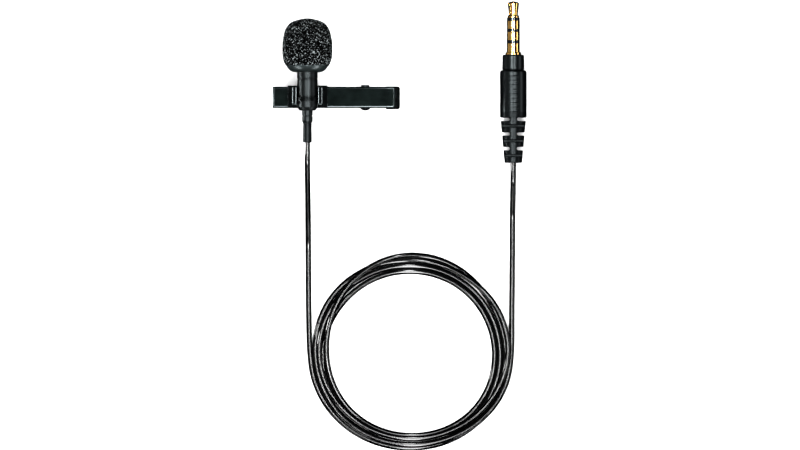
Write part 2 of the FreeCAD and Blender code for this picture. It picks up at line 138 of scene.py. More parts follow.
def bump(nt, bsdf, height, strength, distance):
    b = nt.nodes.new("ShaderNodeBump")
    b.inputs["Strength"].default_value = strength
    b.inputs["Distance"].default_value = distance
    nt.links.new(height, b.inputs["Height"])
    nt.links.new(b.outputs["Normal"], bsdf.inputs["Normal"])
    return b


def vary(nt, fac, lo, hi):
    r = nt.nodes.new("ShaderNodeMapRange")
    r.inputs["To Min"].default_value = lo
    r.inputs["To Max"].default_value = hi
    nt.links.new(fac, r.inputs["Value"])
    return r.outputs["Result"]


COOL = (0.88, 0.975, 1.0, 1.0)      # the black finishes gleam a little blue-green


def black_metal(name, base, rough, grain=(1, 1, 1), turned=False, spec=0.5):
    """Black finish over metal: fine orange peel, uneven gloss, faint streaks."""
    m, nt, b = new_mat(name)
    v = coords(nt, grain)
    big = noise_tex(nt, v, 420, 3)
    fine = noise_tex(nt, v, 6500, 4, 0.6)
    lo = tuple(c * 0.75 for c in base)
    hi = tuple(min(1, c * 1.45) for c in base)
    nt.links.new(ramp(nt, big, [(0.30, lo), (0.72, hi)]), b.inputs["Base Color"])
    nt.links.new(vary(nt, big, rough * 0.88, rough * 1.18), b.inputs["Roughness"])
    h = fine
    if turned:
        w = nt.nodes.new("ShaderNodeTexWave")
        w.wave_type = "BANDS"
        w.bands_direction = "Y"
        w.inputs["Scale"].default_value = 2300
        w.inputs["Distortion"].default_value = 1.2
        w.inputs["Detail"].default_value = 2.0
        nt.links.new(coords(nt), w.inputs["Vector"])
        h = math_node(nt, "ADD", math_node(nt, "MULTIPLY", w.outputs["Fac"], 0.6),
                      math_node(nt, "MULTIPLY", fine, 0.6))
    bump(nt, b, h, 0.035, 0.00002)
    b.inputs["Specular IOR Level"].default_value = spec
    b.inputs["Specular Tint"].default_value = COOL
    return m


def moulded(name, base, rough, grain_scale=5200, strength=0.35, spec=0.5):
    """Moulded black rubber or plastic: spark-eroded grain, slightly uneven gloss."""
    m, nt, b = new_mat(name)
    v = coords(nt)
    big = noise_tex(nt, v, 260, 3)
    grain = nt.nodes.new("ShaderNodeTexVoronoi")
    grain.inputs["Scale"].default_value = grain_scale
    grain.inputs["Randomness"].default_value = 1.0
    nt.links.new(v, grain.inputs["Vector"])
    fine = noise_tex(nt, v, grain_scale * 0.7, 3, 0.6)
    h = math_node(nt, "ADD", math_node(nt, "MULTIPLY", grain.outputs["Distance"], 0.5),
                  math_node(nt, "MULTIPLY", fine, 0.7))
    lo = tuple(c * 0.72 for c in base)
    hi = tuple(min(1, c * 1.4) for c in base)
    mix = math_node(nt, "ADD", math_node(nt, "MULTIPLY", big, 0.7), math_node(nt, "MULTIPLY", fine, 0.3))
    nt.links.new(ramp(nt, mix, [(0.32, lo), (0.70, hi)]), b.inputs["Base Color"])
    nt.links.new(vary(nt, big, rough * 0.88, rough * 1.18), b.inputs["Roughness"])
    bump(nt, b, h, strength, 0.00003)
    b.inputs["Specular IOR Level"].default_value = spec
    b.inputs["Specular Tint"].default_value = COOL
    return m


def bare_metal(name, base, rough, along=(1, 1, 1), strength=0.25, scale=1500, edge=None):
    """Polished or drawn metal with fine lines along one direction."""
    m, nt, b = new_mat(name)
    v = coords(nt, along)
    line = noise_tex(nt, v, scale, 5, 0.65)
    cloud = noise_tex(nt, coords(nt), 350, 3)
    lo = tuple(c * 0.86 for c in base)
    hi = tuple(min(1, c * 1.06) for c in base)
    nt.links.new(ramp(nt, cloud, [(0.3, lo), (0.7, hi)]), b.inputs["Base Color"])
    nt.links.new(vary(nt, line, max(0.02, rough - 0.05), rough + 0.08), b.inputs["Roughness"])
    bump(nt, b, line, strength, 0.000008)
    b.inputs["Metallic"].default_value = 1.0
    if edge:
        b.inputs["Specular Tint"].default_value = edge
    return m


M = {}
M["barrel_metal"] = black_metal("barrel_black", (0.0014, 0.0017, 0.0018), 0.38, turned=True)
M["clip_metal"] = black_metal("clip_black", (0.0070, 0.0102, 0.0096), 0.09, spec=0.8)
# painted shade: the lever is the plate's black steel given a far darker colour for its lower, shaded place
M["lever_metal"] = black_metal("lever_black_painted_shade", (0.0005, 0.0006, 0.0006), 0.16, spec=0.22)
M["pin_metal"] = black_metal("pin_black", (0.0014, 0.0016, 0.0017), 0.25)
M["grille_metal"] = black_metal("grille_black", (0.02, 0.021, 0.022), 0.35)
M["holder_plastic"] = moulded("holder_black", (0.0010, 0.0014, 0.0014), 0.13, 4200, 0.04, 0.7)
M["soft_rubber"] = moulded("soft_rubber", (0.0013, 0.0016, 0.0017), 0.34, 6000, 0.20, 0.30)
M["plug_rubber"] = moulded("plug_rubber", (0.0018, 0.0023, 0.0026), 0.31, 4600, 0.22)
M["relief_rubber"] = moulded("relief_rubber", (0.0018, 0.0023, 0.0026), 0.34, 4600, 0.30, 0.30)
M["black_insulator"] = moulded("insulator_black", (0.0012, 0.0012, 0.0013), 0.14, 7000, 0.02, 1.0)
M["screen_cloth"] = moulded("screen_cloth", (0.01, 0.01, 0.01), 0.8, 9000, 0.9)
M["gold_plate"] = bare_metal("gold_plate", (0.95, 0.62, 0.24), 0.17, (0.15, 1.0, 0.15), 0.05, 2200,
                           edge=(1.0, 0.76, 0.38, 1.0))
M["capsule_metal"] = bare_metal("capsule_aluminium", (0.80, 0.81, 0.82), 0.28, (0.2, 1, 0.2))
M["ferrule_metal"] = bare_metal("ferrule_steel", (0.62, 0.62, 0.60), 0.30, (0.2, 1, 0.2))
M["spring_wire"] = bare_metal("spring_steel", (0.50, 0.50, 0.51), 0.28, (1, 0.2, 1), 0.3, 3000)
M["copper_wire"] = bare_metal("copper_wire", (0.86, 0.42, 0.22), 0.30, (1, 0.2, 1))


def cable_mat():
    m, nt, b = new_mat("cable_jacket")
    v = coords(nt)
    cloud = noise_tex(nt, v, 180, 3)
    fine = noise_tex(nt, v, 5200, 4, 0.6)
    nt.links.new(ramp(nt, cloud, [(0.3, (0.0004, 0.0005, 0.0005)), (0.7, (0.0012, 0.0014, 0.0014))]),
                 b.inputs["Base Color"])
    nt.links.new(vary(nt, cloud, 0.08, 0.12), b.inputs["Roughness"])
    bump(nt, b, fine, 0.03, 0.00002)
    b.inputs["Specular IOR Level"].default_value = 0.8
    return m


def board_mat():
    m, nt, b = new_mat("board_green")
    v = coords(nt)
    br = nt.nodes.new("ShaderNodeTexBrick")
    br.inputs["Scale"].default_value = 900
    br.inputs["Color1"].default_value = (0.010, 0.120, 0.050, 1)
    br.inputs["Color2"].default_value = (0.014, 0.150, 0.062, 1)
    br.inputs["Mortar"].default_value = (0.030, 0.230, 0.100, 1)
    nt.links.new(v, br.inputs["Vector"])
    nt.links.new(br.outputs["Color"], b.inputs["Base Color"])
    nt.links.new(vary(nt, noise_tex(nt, v, 2500), 0.25, 0.4), b.inputs["Roughness"])
    bump(nt, b, br.outputs["Fac"], 0.2, 0.00002)
    return m


def foam_mat():
    """Open-cell foam: black pits, and strands with painted glints, a lighter colour standing in for their
    highlights.
    """
    m, nt, b = new_mat("foam_black")
    at = nt.nodes.new("ShaderNodeAttribute")
    at.attribute_name = "painted_glint"
    fine = noise_tex(nt, coords(nt), 5200, 3, 0.6)
    # painted highlights: the ramp lifts the cell walls a little and the knots far above the black pits
    lit = math_node(nt, "MULTIPLY", at.outputs["Fac"], vary(nt, fine, 0.55, 1.35))
    nt.links.new(ramp(nt, lit, [(0.0, (0.0001, 0.0001, 0.0001)), (0.44, (0.0003, 0.0004, 0.0004)),
                                (0.70, (0.0052, 0.0060, 0.0061)), (1.0, (0.250, 0.272, 0.276))]),
                 b.inputs["Base Color"])
    nt.links.new(vary(nt, fine, 0.75, 0.95), b.inputs["Roughness"])
    bump(nt, b, fine, 0.4, 0.00003)
    b.inputs["Specular IOR Level"].default_value = 0.06
    return m


M["cable_jacket"] = cable_mat()
M["board_green"] = board_mat()
M["foam"] = foam_mat()
# painted sheen: the skinned foot's base colour is many times lighter than the other blacks, in place of the sheen
# along it
M["foam_skin_painted_sheen"] = moulded("foam_skin_painted_sheen", (0.0160, 0.0205, 0.0205), 0.30, 3600, 0.30, 1.0)


# ---------------------------------------------------------------- meshes ----
def finish_piece(obj, slot, body, replaces=(), angle=38.0):
    me = obj.data
    me.materials.clear()
    me.materials.append(M[slot])
    me.polygons.foreach_set("use_smooth", [True] * len(me.polygons))
    me.set_sharp_from_angle(angle=math.radians(angle))
    me.update()
    if obj.name not in scene.collection.objects:
        scene.collection.objects.link(obj)
    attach(obj, body)
    if replaces:
        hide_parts(*replaces)
    return obj


def mesh_obj(name, verts, faces):
    me = bpy.data.meshes.new(name)
    me.from_pydata([tuple(v) for v in verts], [], faces)
    me.validate()
    return bpy.data.objects.new(name, me)


def soften(prof, rad, closed, guard=0.09):
    """Rounds a profile's corners and adds a supporting point beside each."""
    n = len(prof)
    out = []
    for i in range(n):
        p = Vector(prof[i])
        if not closed and (i == 0 or i == n - 1):
            out.append(tuple(p))
            continue
        a, c = Vector(prof[i - 1]), Vector(prof[(i + 1) % n])
        u, w = (a - p), (c - p)
        lu, lw = u.length, w.length
        if lu < 1e-9 or lw < 1e-9:
            continue
        u.normalize()
        w.normalize()
        turn = math.pi - math.acos(max(-1, min(1, u.dot(w))))
        if turn < math.radians(9):
            out.append(tuple(p))
            continue
        cut = min(rad * math.tan(turn / 2), 0.42 * lu, 0.42 * lw)
        k = max(2, int(round(math.degrees(turn) / 18)))
        if 0.46 * lu > cut + guard:
            out.append(tuple(p + u * (cut + guard)))
        for j in range(k + 1):
            t = j / k
            q = (p + u * cut) * (1 - t) ** 2 + p * 2 * t * (1 - t) + (p + w * cut) * t ** 2
            out.append(tuple(q))
        if 0.46 * lw > cut + guard:
            out.append(tuple(p + w * (cut + guard)))
    return out


def lathe(name, prof, slot, body, replaces, x=0.0, z=None, seg=120, rad=0.05):
    """Turned piece about an axis along Y. A profile that starts and ends at
    radius 0 is a rod; any other is a ring and closes on itself."""
    z = ZA if z is None else z
    closed = not (prof[0][0] < 1e-6 and prof[-1][0] < 1e-6)
    pr = soften(prof, rad, closed)
    verts, rings = [], []
    for r, y in pr:
        if r < 1e-6:
            rings.append([len(verts)])
            verts.append(row(x, y, z))
            continue
        ids = []
        for k in range(seg):
            a = 2 * math.pi * k / seg
            ids.append(len(verts))
            verts.append(row(x + r * math.cos(a), y, z + r * math.sin(a)))
        rings.append(ids)
    faces = []
    pairs = list(zip(rings, rings[1:])) + ([(rings[-1], rings[0])] if closed else [])
    for p, q in pairs:
        if len(p) == 1 and len(q) == 1:
            continue
        for k in range(seg):
            k2 = (k + 1) % seg
            if len(p) == 1:
                faces.append((p[0], q[k], q[k2]))
            elif len(q) == 1:
                faces.append((p[k2], p[k], q[0]))
            else:
                faces.append((p[k2], p[k], q[k], q[k2]))
    o = mesh_obj(name, verts, faces)
    bm = bmesh.new()
    bm.from_mesh(o.data)
    bmesh.ops.recalc_face_normals(bm, faces=bm.faces)
    bm.to_mesh(o.data)
    bm.free()
    return finish_piece(o, slot, body, replaces) if slot else o


def box_mesh(x0, x1, y0, y1, z0, z1, name="cutter"):
    v = [row(x, y, z) for x in (x0, x1) for y in (y0, y1) for z in (z0, z1)]
    f = [(0, 1, 3, 2), (4, 6, 7, 5), (0, 4, 5, 1), (2, 3, 7, 6), (0, 2, 6, 4), (1, 5, 7, 3)]
    return mesh_obj(name, v, f)


def prism(outline, lo, hi, plane, name="cutter"):
    """Solid with an outline in the 'xz', 'yz' or 'xy' plane between lo and hi."""
    def at(p, h):
        return {"xz": row(p[0], h, p[1]), "yz": row(h, p[0], p[1]), "xy": row(p[0], p[1], h)}[plane]
    n = len(outline)
    v = [at(p, lo) for p in outline] + [at(p, hi) for p in outline]
    f = [tuple(range(n)), tuple(range(2 * n - 1, n - 1, -1))]
    f += [(i, n + i, n + (i + 1) % n, (i + 1) % n) for i in range(n)]
    o = mesh_obj(name, v, f)
    bm = bmesh.new()
    bm.from_mesh(o.data)
    bmesh.ops.recalc_face_normals(bm, faces=bm.faces)
    bm.to_mesh(o.data)
    bm.free()
    return o


def applied(o, drop=()):
    """The object's mesh with its modifiers applied."""
    dg = bpy.context.evaluated_depsgraph_get()
    me = bpy.data.meshes.new_from_object(o.evaluated_get(dg))
    o.modifiers.clear()
    o.data = me
    for d in drop:
        bpy.data.objects.remove(d)
    return o


def boolean(o, others, op):
    for c in others:
        for x in (o, c):
            if x.name not in scene.collection.objects:
                scene.collection.objects.link(x)
        m = o.modifiers.new("b", "BOOLEAN")
        m.object = c
        m.operation = op
        m.solver = "EXACT"
    bpy.context.view_layer.update()
    return applied(o, others)


def remesh(o, voxel_mm, smooth=6, factor=0.5):
    m = o.modifiers.new("r", "REMESH")
    m.mode = "VOXEL"
    m.voxel_size = voxel_mm * MM
    m.use_smooth_shade = True
    s = o.modifiers.new("s", "SMOOTH")
    s.iterations = smooth
    s.factor = factor
    if o.name not in scene.collection.objects:
        scene.collection.objects.link(o)
    bpy.context.view_layer.update()
    return applied(o)


def arc(cx, cz, r, a0, a1, n):
    return [(cx + r * math.cos(math.radians(a0 + (a1 - a0) * i / n)),
             cz + r * math.sin(math.radians(a0 + (a1 - a0) * i / n))) for i in range(n + 1)]


# ------------------------------------------------------------------ cord ----
# The route's points, as in the design: from the sleeve down to the surface, the
# turns of the coil, and up into the plug. Each coil point is (angle, radius,
# height) about the coil's centre, in degrees and millimetres.
COIL = (28.55, -69.73)
ROUTE_IN = [(0.0, -12.44, 9.45), (0.0, -18.2, 9.45), (0.05, -25.4, 6.75), (0.07, -33.0, 2.65),
            (0.09, -41.2, 0.80), (0.13, -50.6, 0.75), (0.22, -60.2, 0.75), (0.45, -69.8, 0.75),
            (1.35, -77.0, 0.75)]
ROUTE_OUT = [(55.15, -76.9, 1.30), (56.00, -69.0, 0.75), (55.94, -60.0, 0.75), (56.06, -50.5, 0.75),
             (56.12, -41.5, 0.75), (56.14, -34.0, 0.86), (56.20, -28.0, 2.05), (56.30, -22.4, 3.65),
             (56.30, -17.89, 3.65)]
TURNS = [
    (210, 27.98, 0.75), (225, 27.67, 0.75), (240, 27.24, 0.75), (255, 26.86, 0.75), (270, 26.64, 0.75), (285, 26.64, 0.75),
    (300, 26.72, 0.75), (315, 26.68, 0.75), (330, 26.46, 0.75), (345, 26.20, 0.75), (360, 25.93, 0.75), (375, 25.67, 0.75),
    (390, 25.60, 0.75), (405, 25.87, 0.75), (420, 26.29, 0.75), (435, 26.62, 0.96), (450, 26.73, 1.43), (465, 26.53, 1.99),
    (480, 25.97, 2.32), (495, 25.23, 2.39), (510, 24.52, 2.37), (525, 23.96, 2.26), (540, 23.66, 1.88), (555, 23.60, 1.34),
    (570, 23.63, 0.93), (585, 23.60, 0.75), (600, 23.48, 0.75), (615, 23.33, 0.75), (630, 23.24, 0.75), (645, 23.31, 0.75),
    (660, 23.47, 0.75), (675, 23.55, 0.75), (690, 23.43, 0.75), (705, 23.16, 0.75), (720, 22.89, 0.75), (735, 22.65, 0.75),
    (750, 22.46, 0.75), (765, 22.33, 0.75), (780, 22.22, 0.75), (795, 22.17, 0.75), (810, 22.23, 0.75), (825, 22.46, 0.75),
    (840, 22.76, 0.75), (855, 23.14, 0.75), (870, 23.63, 0.75), (885, 24.23, 0.75), (900, 24.73, 0.75), (915, 25.03, 0.75),
    (930, 25.13, 0.75), (945, 25.13, 0.75), (960, 25.04, 0.75), (975, 24.90, 0.75), (990, 24.84, 0.75), (1005, 24.93, 0.75),
    (1020, 25.08, 0.75), (1035, 25.12, 0.75), (1050, 24.94, 0.75), (1065, 24.68, 0.75), (1080, 24.40, 0.75), (1095, 24.17, 0.75),
    (1110, 23.98, 0.75), (1125, 23.85, 0.75), (1140, 23.74, 0.75), (1155, 23.69, 0.75), (1170, 23.73, 0.75), (1185, 23.99, 0.75),
    (1200, 24.43, 0.75), (1215, 24.95, 0.78), (1230, 25.37, 1.02), (1245, 25.63, 1.46), (1260, 25.74, 1.90), (1275, 25.57, 2.18),
    (1290, 25.20, 2.27), (1305, 24.76, 2.22), (1320, 24.39, 2.11), (1335, 24.13, 2.04), (1350, 24.03, 2.02), (1365, 24.12, 2.03),
    (1380, 24.44, 2.14), (1395, 24.98, 2.25), (1410, 25.64, 2.27), (1425, 26.24, 2.25), (1440, 26.60, 2.17), (1455, 26.61, 2.15),
    (1470, 26.29, 2.23), (1485, 25.78, 2.28), (1500, 25.31, 1.99), (1515, 25.12, 1.45), (1530, 25.22, 0.98), (1545, 25.53, 0.75),
    (1560, 26.06, 0.75), (1575, 26.59, 0.75), (1590, 26.91, 0.75), (1605, 26.96, 0.75), (1620, 26.80, 0.75), (1635, 26.64, 0.93),
    (1650, 26.55, 1.27), (1665, 26.40, 1.59), (1680, 26.14, 1.79), (1695, 25.88, 1.90), (1710, 25.73, 1.96), (1725, 25.84, 2.04),
    (1740, 26.22, 2.19), (1755, 26.77, 2.29), (1770, 27.29, 2.06),
]
pts = [row(*p) for p in ROUTE_IN]
for a, r, h in TURNS:
    pts.append(row(COIL[0] + r * math.cos(math.radians(a)), COIL[1] + r * math.sin(math.radians(a)), h))
pts += [row(*p) for p in ROUTE_OUT]
CABLE_D = 1.50

curve = bpy.data.curves.new("cable", "CURVE")
curve.dimensions = "3D"
sp = curve.splines.new("NURBS")
sp.points.add(len(pts) - 1)
for p, co in zip(sp.points, pts):
    p.co = (co.x, co.y, co.z, 1.0)
sp.order_u = 3
sp.use_endpoint_u = True
sp.resolution_u = 10
curve.bevel_depth = CABLE_D / 2 * MM
curve.bevel_resolution = 7
curve.use_fill_caps = True
curve.materials.append(M["cable_jacket"])
cable = bpy.data.objects.new("cable", curve)
scene.collection.objects.link(cable)
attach(cable, "mic")
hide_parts("cord_mic_lead", "cord_coil", "cord_plug_lead")

# ---------------------------------------------------------------- barrel ----
BR, G = 2.765, 0.10
lathe("barrel", [(2.35, 0.20), (BR - 0.06, 0.20), (BR, 0.26), (BR, 4.58), (BR - G, 4.63), (BR - G, 4.76),
                 (BR, 4.81), (BR, 4.95), (BR - G, 5.00), (BR - G, 5.13), (BR, 5.18), (BR, 16.20),
                 (BR - 0.09, 16.41), (BR - 0.30, 16.5), (2.35, 16.5)],
      "barrel_metal", "mic", ["mic_housing"], rad=0.03)
lathe("barrel_cap", [(1.30, -3.67), (2.11, -3.67), (BR - 0.08, -2.97), (BR, -2.85), (BR, -0.11),
                     (BR - 0.06, -0.05), (2.60, -0.05), (2.60, 0.20), (2.35, 0.20), (2.35, 3.0), (1.30, 3.0)],
      "barrel_metal", "mic", ["rear_cap"], rad=0.06)
lathe("relief_collar", [(0.75, -7.26), (1.165, -7.26), (1.425, -6.58), (1.425, -5.33), (1.305, -5.27),
                        (1.305, -5.08), (1.425, -5.02), (1.425, -3.67), (1.28, -3.67), (1.28, -1.60),
                        (0.75, -1.60)],
      "barrel_metal", "mic", ["strain_relief_collar"], rad=0.05, seg=88)
lathe("relief_sleeve", [(0.75, -12.44), (1.06, -12.44), (1.22, -12.22), (1.20, -10.0), (1.165, -7.26),
                        (0.75, -7.26)],
      "soft_rubber", "mic", ["strain_relief_sleeve"], rad=0.07, seg=88)
lathe("friction_ring", [(2.80, -1.25), (2.99, -1.25), (3.05, -1.19), (3.05, -0.92), (2.97, -0.86),
                        (2.97, -0.78), (3.05, -0.72), (3.05, -0.58), (2.97, -0.52), (2.97, -0.44),
                        (3.05, -0.38), (3.05, -0.18), (2.99, -0.12), (2.80, -0.12)],
      "soft_rubber", "grip_ring", ["grip_ring"], rad=0.03)

# ------------------------------------------------------------- windscreen ----
OUT = [(0.0, 21.42), (1.55, 21.25), (3.50, 20.73), (4.74, 20.08), (5.62, 19.04), (6.16, 17.90),
       (6.52, 16.50), (6.77, 14.90), (6.84, 13.10), (6.77, 11.40), (6.48, 9.75), (5.88, 8.58),
       (5.02, 7.42), (4.20, 6.88), (3.35, 6.71)]


def smooth_line(ctrl, n):
    """Even points on a Catmull-Rom line through ctrl."""
    c = np.array(ctrl, float)
    first = np.array([-c[1][0], c[1][1]])
    ext = np.vstack([first, c, 2 * c[-1] - c[-2]])
    fine = []
    for i in range(len(c) - 1):
        p0, p1, p2, p3 = ext[i], ext[i + 1], ext[i + 2], ext[i + 3]
        for t in np.linspace(0, 1, 40, endpoint=False):
            fine.append(0.5 * (2 * p1 + (p2 - p0) * t + (2 * p0 - 5 * p1 + 4 * p2 - p3) * t ** 2
                               + (3 * p1 - p0 - 3 * p2 + p3) * t ** 3))
    fine.append(c[-1])
    fine = np.array(fine)
    s = np.concatenate([[0], np.cumsum(np.linalg.norm(np.diff(fine, axis=0), axis=1))])
    u = np.linspace(0, s[-1], n)
    return np.stack([np.interp(u, s, fine[:, 0]), np.interp(u, s, fine[:, 1])], 1)


def build_foam():
    rows_n, seg = 250, 460
    line = smooth_line(OUT, rows_n)
    tang = np.gradient(line, axis=0)
    tang /= np.linalg.norm(tang, axis=1)[:, None]
    nrm = np.stack([-tang[:, 1], tang[:, 0]], 1)       # outward in (r, y)
    nrm[0] = (0, 1)
    verts, painted_glint, skin = [], [], []
    faces = []

    def surface(i, k):
        r, y = line[i]
        a = 2 * math.pi * k / seg
        ca, sa = math.cos(a), math.sin(a)
        # a hand-trimmed form is never quite round
        lump = 0.07 * noise.noise(Vector((r * ca * 0.28, y * 0.28, r * sa * 0.28 + 3.1)))
        p = Vector((r * ca, y, r * sa))
        foot = min(1.0, max(0.0, (8.72 + 0.25 * noise.noise(p * 0.9) - y) / 0.55))
        foot = foot * foot * (3 - 2 * foot)
        q = p / 0.60 + Vector((0.5 * noise.noise(p * 1.3), 0.5 * noise.noise(p * 1.3 + Vector((9, 0, 0))),
                               0.5 * noise.noise(p * 1.3 + Vector((0, 9, 0)))))
        d = noise.voronoi(q, distance_metric="DISTANCE", exponent=2.5)[0]
        edge = d[1] - d[0]                                # 0 on the cell walls
        wall = max(0.0, 1.0 - edge / 0.38)
        knot = max(0.0, 1.0 - (d[2] - d[0]) / 0.42)       # 1 where three cells meet
        big = 0.5 + 0.5 * noise.noise(p * 1.05 + Vector((0, 4, 0)))
        depth = (0.20 + 0.16 * big) * (1 - wall ** 0.8)
        fine = 0.035 * noise.noise(p * 5.0)
        h = lump * 0.6 + (-depth + fine) * (1 - foot) - 0.05 * foot
        hr, hy = nrm[i]
        v = row((r + h * hr) * ca, y + h * hy, ZA + (r + h * hr) * sa)
        # painted glint: walls and knots get the values that the foam material paints as highlights
        glint = (0.30 * wall + 0.88 * knot) * (1.0 + 0.45 * noise.noise(p * 2.6 + Vector((1, 7, 2))))
        return v, min(1.0, glint), foot

    top = surface(0, 0)
    verts.append(row(0, line[0][1] - 0.12, ZA))
    painted_glint.append(0.2)
    skin.append(0.0)
    for i in range(1, rows_n):
        for k in range(seg):
            v, s, f = surface(i, k)
            verts.append(v)
            painted_glint.append(s)
            skin.append(f)
    # the mouth rolls in to the bore, which closes above the barrel
    inner = [(3.10, 6.74), (2.96, 6.82), (2.90, 6.98), (2.90, 8.0), (2.90, 12.0), (2.90, 16.4), (2.70, 16.68),
             (1.4, 16.72)]
    for r, y in inner:
        for k in range(seg):
            a = 2 * math.pi * k / seg
            verts.append(row(r * math.cos(a), y, ZA + r * math.sin(a)))
            painted_glint.append(0.3)
            skin.append(0.6 if y < 7.2 else 0.0)
    verts.append(row(0, 16.72, ZA))
    painted_glint.append(0.3)
    skin.append(0.0)
    n_rings = rows_n - 1 + len(inner)
    for k in range(seg):
        faces.append((0, 1 + (k + 1) % seg, 1 + k))
    for i in range(n_rings - 1):
        b0, b1 = 1 + i * seg, 1 + (i + 1) * seg
        for k in range(seg):
            k2 = (k + 1) % seg
            faces.append((b0 + k, b0 + k2, b1 + k2, b1 + k))
    last, end = 1 + (n_rings - 1) * seg, len(verts) - 1
    for k in range(seg):
        faces.append((last + k, last + (k + 1) % seg, end))
    # the skinned foot is a piece of its own, joined to the open foam along one line
    level = np.array(skin)
    pieces = {"windscreen_foam": [], "windscreen_skin": []}
    for f in faces:
        pieces["windscreen_skin" if level[list(f)].mean() > 0.5 else "windscreen_foam"].append(f)
    for nm, fs in pieces.items():
        used = sorted({v for f in fs for v in f})
        new = {v: i for i, v in enumerate(used)}
        o = mesh_obj(nm, [verts[v] for v in used], [tuple(new[v] for v in f) for f in fs])
        bm = bmesh.new()
        bm.from_mesh(o.data)
        bmesh.ops.recalc_face_normals(bm, faces=bm.faces)
        bm.to_mesh(o.data)
        bm.free()
        if nm == "windscreen_foam":
            at = o.data.attributes.new("painted_glint", "FLOAT", "POINT")
            at.data.foreach_set("value", np.array([painted_glint[v] for v in used], np.float32))
        finish_piece(o, "foam", "windscreen", ["foam_windscreen"], angle=80)
        if nm == "windscreen_skin":
            o.data.materials[0] = M["foam_skin_painted_sheen"]


build_foam()

# ------------------------------------------------------------ plug metal ----
lathe("plug_tip_gold", [(0, 8.2), (0.42, 8.2), (0.42, 21.84), (1.57, 21.84), (1.57, 22.30), (1.50, 22.40),
                        (1.24, 22.52), (1.22, 22.75), (1.27, 23.30), (1.42, 24.70), (1.53, 25.45),
                        (1.55, 25.72), (1.50, 25.92), (1.28, 26.10), (0.80, 26.22), (0.45, 26.33),
                        (0.20, 26.36), (0, 26.36)],
      "gold_plate", "mic", ["plug_tip"], PX, PZ, rad=0.06)
lathe("plug_contact_front", [(0.66, 8.8), (0.90, 8.8), (0.90, 18.77), (1.75, 18.77), (1.75, 20.96), (0.66, 20.96)],
      "gold_plate", "mic", ["plug_ring_front"], PX, PZ, rad=0.04)
lathe("plug_contact_back", [(1.10, 9.4), (1.30, 9.4), (1.30, 15.67), (1.75, 15.67), (1.75, 17.95), (1.10, 17.95)],
      "gold_plate", "mic", ["plug_ring_back"], PX, PZ, rad=0.04)
lathe("plug_contact_sleeve", [(1.48, 10.0), (1.80, 10.0), (1.80, 11.67), (2.12, 11.67), (2.12, 12.26),
                              (2.00, 12.38), (1.75, 12.38), (1.75, 14.79), (1.48, 14.79)],
      "gold_plate", "mic", ["plug_sleeve"], PX, PZ, rad=0.04)
lathe("plug_insulator_1", [(0.42, 8.6), (0.66, 8.6), (0.66, 20.96), (1.73, 20.96), (1.73, 21.84), (0.42, 21.84)],
      "black_insulator", "mic", ["plug_insulators"], PX, PZ, rad=0.03)
lathe("plug_insulator_2", [(0.90, 9.2), (1.10, 9.2), (1.10, 17.95), (1.73, 17.95), (1.73, 18.77), (0.90, 18.77)],
      "black_insulator", "mic", ["plug_insulators"], PX, PZ, rad=0.03)
lathe("plug_insulator_3", [(1.30, 9.8), (1.48, 9.8), (1.48, 14.79), (1.73, 14.79), (1.73, 15.67), (1.30, 15.67)],
      "black_insulator", "mic", ["plug_insulators"], PX, PZ, rad=0.03)


